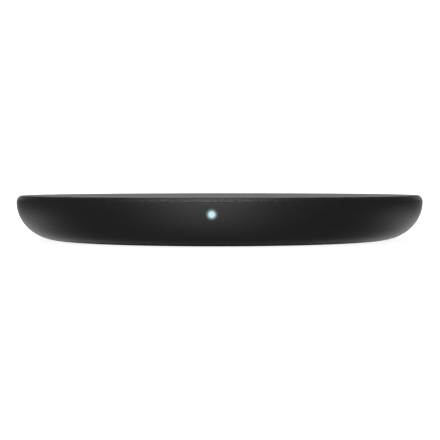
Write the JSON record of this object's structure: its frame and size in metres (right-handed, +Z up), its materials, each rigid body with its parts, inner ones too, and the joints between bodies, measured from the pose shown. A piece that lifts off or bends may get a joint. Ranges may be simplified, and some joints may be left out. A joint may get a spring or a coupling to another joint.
{
  "type": "wireless charging pad",
  "caption": "Round bowl-shaped inductive charging pad with a textured flat top, a front status light and a socket in the rear.",
  "frame": {"origin": "middle of the foot ring's underside, on the surface that the pad stands on", "axes": "+Z up through the charging surface; the status light faces -Y and the socket faces +Y"},
  "size_m": [0.098, 0.098, 0.0109],
  "materials": {
    "top_skin": "fine-grained matt soft-touch skin, near black",
    "top_cover": "moulded dark grey plastic",
    "bottom_housing": "smooth satin black moulding",
    "foot_ring": "matt black silicone",
    "foot_adhesive": "translucent acrylic tape",
    "light_pipe": "clear moulded acrylic, end face glows pale cyan",
    "housing_screws": "zinc-plated steel",
    "coil_carrier": "natural white moulding",
    "carrier_screws": "zinc-plated steel",
    "shield_plate": "bare rolled sheet",
    "ferrite_disc": "sintered dark grey",
    "ferrite_tape": "clear-yellow adhesive film",
    "transmit_coil": "enamelled copper litz, copper coloured",
    "coil_leads": "dark red sleeving",
    "coil_thermal_pad": "soft grey-blue gap pad",
    "thermistor": "green epoxy bead",
    "main_board": "green solder mask",
    "usb_c_shell": "nickel-plated steel",
    "usb_c_insulator": "black liquid-crystal polymer",
    "usb_c_contacts": "gold plated",
    "controller_ic": "black moulded package",
    "bridge_mosfets": "black moulded package",
    "resonant_capacitors": "tan ceramic body",
    "bulk_capacitors": "satin can on a black base",
    "power_inductor": "pressed dark grey powder",
    "current_sense_resistor": "black coat, tinned ends",
    "crystal": "plated lid",
    "surge_diode": "black moulded package",
    "decoupling_capacitors": "tan ceramic body, tinned ends",
    "chip_resistors": "black coat, tinned ends",
    "status_led": "white package"
  },
  "bodies": {
    "root": {"top_skin": "top_skin", "top_cover": "top_cover", "bottom_housing": "bottom_housing", "foot_ring": "foot_ring", "foot_adhesive": "foot_adhesive", "light_pipe": "light_pipe", "housing_screws": "housing_screws", "coil_carrier": "coil_carrier", "carrier_screws": "carrier_screws", "shield_plate": "shield_plate", "ferrite_disc": "ferrite_disc", "ferrite_tape": "ferrite_tape", "transmit_coil": "transmit_coil", "coil_leads": "coil_leads", "coil_thermal_pad": "coil_thermal_pad", "thermistor": "thermistor", "main_board": "main_board", "usb_c_shell": "usb_c_shell", "usb_c_insulator": "usb_c_insulator", "usb_c_contacts": "usb_c_contacts", "controller_ic": "controller_ic", "bridge_mosfets": "bridge_mosfets", "resonant_capacitors": "resonant_capacitors", "bulk_capacitors": "bulk_capacitors", "power_inductor": "power_inductor", "current_sense_resistor": "current_sense_resistor", "crystal": "crystal", "surge_diode": "surge_diode", "decoupling_capacitors": "decoupling_capacitors", "chip_resistors": "chip_resistors", "status_led": "status_led"}
  },
  "joints": []
}
